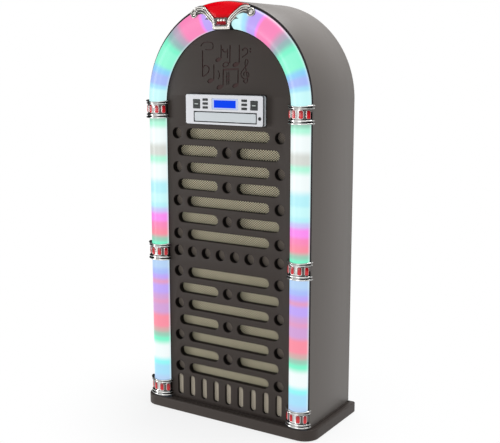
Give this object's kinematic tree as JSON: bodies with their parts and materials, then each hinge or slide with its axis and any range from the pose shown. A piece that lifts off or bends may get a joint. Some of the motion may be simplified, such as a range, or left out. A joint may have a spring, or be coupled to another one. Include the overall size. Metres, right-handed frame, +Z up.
{
  "type": "jukebox",
  "caption": "Arched home jukebox with lit tubes, chrome collars, a pierced speaker baffle and a disc tray.",
  "frame": {"origin": "on the floor under the middle of the plinth", "axes": "+Z up, -Y towards the front with the fascia and grille, +X to the right seen from the front"},
  "size_m": [0.516, 0.248, 1.065],
  "materials": {
    "cabinet": "satin wrap",
    "panel": "satin",
    "cloth": "woven",
    "lens": "lit from behind in changing colours",
    "chrome": "polished",
    "jewel": "clear red",
    "silver": "silver",
    "key": "dark",
    "display": "lit blue",
    "rubber": "matt",
    "moulding": "satin",
    "steel": "plated",
    "paper": "matt",
    "circuit": "lacquered",
    "strip": "lit"
  },
  "bodies": {
    "cabinet": {"amplifier_board": "circuit", "arch_lens_left": "lens", "arch_lens_right": "lens", "audio_socket": "key", "base_plinth": "panel", "cabinet_shell": "cabinet", "clamp_bridge": "steel", "collar_foot_left": "chrome", "collar_foot_right": "chrome", "collar_shoulder_left": "chrome", "collar_shoulder_right": "chrome", "collar_waist_left": "chrome", "collar_waist_right": "chrome", "control_board": "circuit", "control_fascia": "silver", "crown_dome": "jewel", "crown_ornament": "chrome", "crown_stone": "jewel", "display_window": "display", "front_baffle": "panel", "jewels_foot_left": "jewel", "jewels_foot_right": "jewel", "jewels_shoulder_left": "jewel", "jewels_shoulder_right": "jewel", "jewels_waist_left": "jewel", "jewels_waist_right": "jewel", "light_strip": "strip", "light_tube_lower_left": "lens", "light_tube_lower_right": "lens", "light_tube_upper_left": "lens", "light_tube_upper_right": "lens", "mains_inlet": "moulding", "player_chassis": "moulding", "rear_panel": "panel", "rubber_foot_front_left": "rubber", "rubber_foot_front_right": "rubber", "rubber_foot_rear_left": "rubber", "rubber_foot_rear_right": "rubber", "speaker_board": "panel", "speaker_cloth": "cloth", "speaker_lower": "steel", "speaker_upper": "steel", "vent_cloth": "cloth"},
    "tray": {"disc_tray": "moulding", "tray_door": "silver"},
    "gear": {"loading_gear": "silver"},
    "cradle": {"pickup_cradle": "steel"},
    "turntable": {"disc_turntable": "moulding"},
    "sled": {"laser_sled": "moulding"},
    "clamp": {"disc_clamp": "moulding"},
    "key_left": {"rocker_left": "key"},
    "key_right": {"rocker_right": "key"},
    "cone_upper": {"speaker_cone_upper": "paper"},
    "cone_lower": {"speaker_cone_lower": "paper"},
    "button_left_top": {"button_left_top": "key"},
    "button_left_middle": {"button_left_middle": "key"},
    "button_left_bottom": {"button_left_bottom": "key"},
    "button_right_top": {"button_right_top": "key"},
    "button_right_middle": {"button_right_middle": "key"},
    "button_right_bottom": {"button_right_bottom": "key"}
  },
  "joints": [
    {"name": "tray_slide", "type": "slide", "parent": "cabinet", "child": "tray", "axis": [0, -1, 0], "range_m": [0, 0.135]},
    {"name": "gear_spin", "type": "hinge", "parent": "cabinet", "child": "gear", "pos_m": [-0.0465, -0.07, 0.7809], "axis": [0, 0, 1], "range_deg": [0, 740]},
    {"name": "cradle_tilt", "type": "hinge", "parent": "cabinet", "child": "cradle", "pos_m": [0, 0.062, 0.7732], "axis": [-1, 0, 0], "range_deg": [0, 4]},
    {"name": "turntable_spin", "type": "hinge", "parent": "cradle", "child": "turntable", "pos_m": [0, -0.042, 0.7795], "axis": [0, 0, 1], "continuous": true},
    {"name": "sled_slide", "type": "slide", "parent": "cradle", "child": "sled", "axis": [0, 1, 0], "range_m": [0, 0.024]},
    {"name": "clamp_spin", "type": "hinge", "parent": "cabinet", "child": "clamp", "pos_m": [0, -0.042, 0.7912], "axis": [0, 0, 1], "continuous": true},
    {"name": "button_left_top_press", "type": "slide", "parent": "cabinet", "child": "button_left_top", "axis": [0, 1, 0], "range_m": [0, 0.001], "stiffness_N_per_m": 400, "springref_m": -0.001},
    {"name": "button_left_middle_press", "type": "slide", "parent": "cabinet", "child": "button_left_middle", "axis": [0, 1, 0], "range_m": [0, 0.001], "stiffness_N_per_m": 400, "springref_m": -0.001},
    {"name": "button_left_bottom_press", "type": "slide", "parent": "cabinet", "child": "button_left_bottom", "axis": [0, 1, 0], "range_m": [0, 0.001], "stiffness_N_per_m": 400, "springref_m": -0.001},
    {"name": "button_right_top_press", "type": "slide", "parent": "cabinet", "child": "button_right_top", "axis": [0, 1, 0], "range_m": [0, 0.001], "stiffness_N_per_m": 400, "springref_m": -0.001},
    {"name": "button_right_middle_press", "type": "slide", "parent": "cabinet", "child": "button_right_middle", "axis": [0, 1, 0], "range_m": [0, 0.001], "stiffness_N_per_m": 400, "springref_m": -0.001},
    {"name": "button_right_bottom_press", "type": "slide", "parent": "cabinet", "child": "button_right_bottom", "axis": [0, 1, 0], "range_m": [0, 0.001], "stiffness_N_per_m": 400, "springref_m": -0.001},
    {"name": "rocker_left_tilt", "type": "hinge", "parent": "cabinet", "child": "key_left", "pos_m": [-0.08, -0.1102, 0.818], "axis": [1, 0, 0], "range_deg": [-3.5, 3.5], "stiffness_Nm_per_rad": 0.15},
    {"name": "rocker_right_tilt", "type": "hinge", "parent": "cabinet", "child": "key_right", "pos_m": [0.088, -0.1102, 0.818], "axis": [1, 0, 0], "range_deg": [-3.5, 3.5], "stiffness_Nm_per_rad": 0.15},
    {"name": "cone_upper_move", "type": "slide", "parent": "cabinet", "child": "cone_upper", "axis": [0, 1, 0], "range_m": [-0.0025, 0.0025], "stiffness_N_per_m": 1500},
    {"name": "cone_lower_move", "type": "slide", "parent": "cabinet", "child": "cone_lower", "axis": [0, 1, 0], "range_m": [-0.0025, 0.0025], "stiffness_N_per_m": 1500}
  ],
  "couplings": [
    {"joint": "gear_spin", "follows": "tray_slide", "rad_per_m": 95.238},
    {"joint": "clamp_spin", "follows": "turntable_spin", "ratio": 1}
  ]
}
